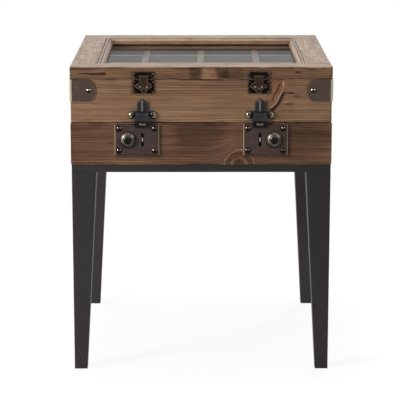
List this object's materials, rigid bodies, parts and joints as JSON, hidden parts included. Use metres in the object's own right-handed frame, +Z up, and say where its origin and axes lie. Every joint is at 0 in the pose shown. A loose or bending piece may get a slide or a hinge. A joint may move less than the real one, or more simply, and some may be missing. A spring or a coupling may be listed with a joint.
{
  "type": "trunk coffee table",
  "caption": "Square trunk table with a glazed lid over a divided display tray, a hinged storage box with locks and hasps, on a tapered steel base.",
  "frame": {"origin": "on the floor under the middle of the box", "axes": "+Z up, +Y towards the hinged back, so the front with the locks faces -Y, +X to the right seen from the front"},
  "size_m": [0.516, 0.5275, 0.608],
  "materials": {
    "base_steel": "satin black powder coat",
    "foot_plastic": "moulded black plastic",
    "lower_wood": "distressed dark brown stain",
    "panel_wood": "plain brown stain",
    "upper_wood": "distressed brown stain",
    "frame_wood": "distressed brown stain, paler on top",
    "tray_wood": "pale washed wood",
    "screw_steel": "zinc plated",
    "lock_bronze": "dark bronze with worn brass bevels",
    "bezel_nickel": "aged nickel",
    "case_zinc": "plain casting",
    "button_dark": "dark bronze",
    "brass": "aged brass",
    "hinge_steel": "dark bronze",
    "pin_steel": "plain",
    "hasp_black": "black lacquer",
    "latch_bronze": "dark bronze with rubbed edges",
    "bracket_bronze": "dark bronze with a bright brass bend",
    "pane": "clear"
  },
  "bodies": {
    "table": {"leg_front_left": "base_steel", "leg_front_right": "base_steel", "leg_back_left": "base_steel", "leg_back_right": "base_steel", "base_rails": "base_steel", "corner_plates": "base_steel", "foot_caps": "foot_plastic", "lower_front_board": "lower_wood", "lower_back_board": "lower_wood", "lower_left_board": "lower_wood", "lower_right_board": "lower_wood", "bottom_panel": "panel_wood", "lower_box_screws": "screw_steel", "lock_plates": "lock_bronze", "lock_bezels": "bezel_nickel", "lock_cases": "case_zinc", "key_posts": "brass", "lock_nails": "brass", "trunk_hinge_lower_leaves": "hinge_steel", "trunk_hinge_pins": "pin_steel"},
    "trunk_lid": {"upper_front_board": "upper_wood", "upper_back_board": "upper_wood", "upper_left_board": "upper_wood", "upper_right_board": "upper_wood", "upper_box_screws": "screw_steel", "trunk_hinge_upper_leaves": "hinge_steel", "tray_floor": "panel_wood", "tray_walls": "tray_wood", "tray_cross_dividers": "tray_wood", "tray_long_dividers": "tray_wood", "tray_ledges": "panel_wood", "corner_brackets": "bracket_bronze", "bracket_nails": "brass", "hasp_plates": "hasp_black", "hasp_nails": "brass", "hasp_pins": "pin_steel", "latch_lower_plates": "latch_bronze", "glass_hinge_lower_leaves": "hinge_steel", "glass_hinge_pins": "pin_steel"},
    "glass_lid": {"frame_front_rail": "frame_wood", "frame_back_rail": "frame_wood", "frame_left_stile": "frame_wood", "frame_right_stile": "frame_wood", "frame_screws": "screw_steel", "glazing_moulding": "frame_wood", "glass": "pane", "glass_stops": "panel_wood", "latch_upper_plates": "latch_bronze", "latch_pins": "pin_steel", "glass_hinge_upper_leaves": "hinge_steel"},
    "hasp_left": {"hasp_flap_left": "hasp_black", "hasp_bar_left": "brass"},
    "hasp_right": {"hasp_flap_right": "hasp_black", "hasp_bar_right": "brass"},
    "latch_left": {"latch_tongue_left": "latch_bronze"},
    "latch_right": {"latch_tongue_right": "latch_bronze"},
    "button_left": {"push_button_left": "button_dark"},
    "button_right": {"push_button_right": "button_dark"}
  },
  "joints": [
    {"name": "trunk_lid_hinge", "type": "hinge", "parent": "table", "child": "trunk_lid", "pos_m": [0, 0.258, 0.49925], "axis": [-1, 0, 0], "range_deg": [0, 90]},
    {"name": "glass_lid_hinge", "type": "hinge", "parent": "trunk_lid", "child": "glass_lid", "pos_m": [0, 0.258, 0.58425], "axis": [-1, 0, 0], "range_deg": [0, 95]},
    {"name": "hasp_left_hinge", "type": "hinge", "parent": "trunk_lid", "child": "hasp_left", "pos_m": [-0.114, -0.2593, 0.517], "axis": [-1, 0, 0], "range_deg": [0, 100]},
    {"name": "latch_left_hinge", "type": "hinge", "parent": "glass_lid", "child": "latch_left", "pos_m": [-0.111, -0.2575, 0.5904], "axis": [-1, 0, 0], "range_deg": [0, 120]},
    {"name": "button_left_press", "type": "slide", "parent": "table", "child": "button_left", "axis": [0, 1, 0], "range_m": [0, 0.003], "stiffness_N_per_m": 500, "springref_m": -0.002},
    {"name": "hasp_right_hinge", "type": "hinge", "parent": "trunk_lid", "child": "hasp_right", "pos_m": [0.114, -0.2593, 0.517], "axis": [-1, 0, 0], "range_deg": [0, 100]},
    {"name": "latch_right_hinge", "type": "hinge", "parent": "glass_lid", "child": "latch_right", "pos_m": [0.111, -0.2575, 0.5904], "axis": [-1, 0, 0], "range_deg": [0, 120]},
    {"name": "button_right_press", "type": "slide", "parent": "table", "child": "button_right", "axis": [0, 1, 0], "range_m": [0, 0.003], "stiffness_N_per_m": 500, "springref_m": -0.002}
  ]
}
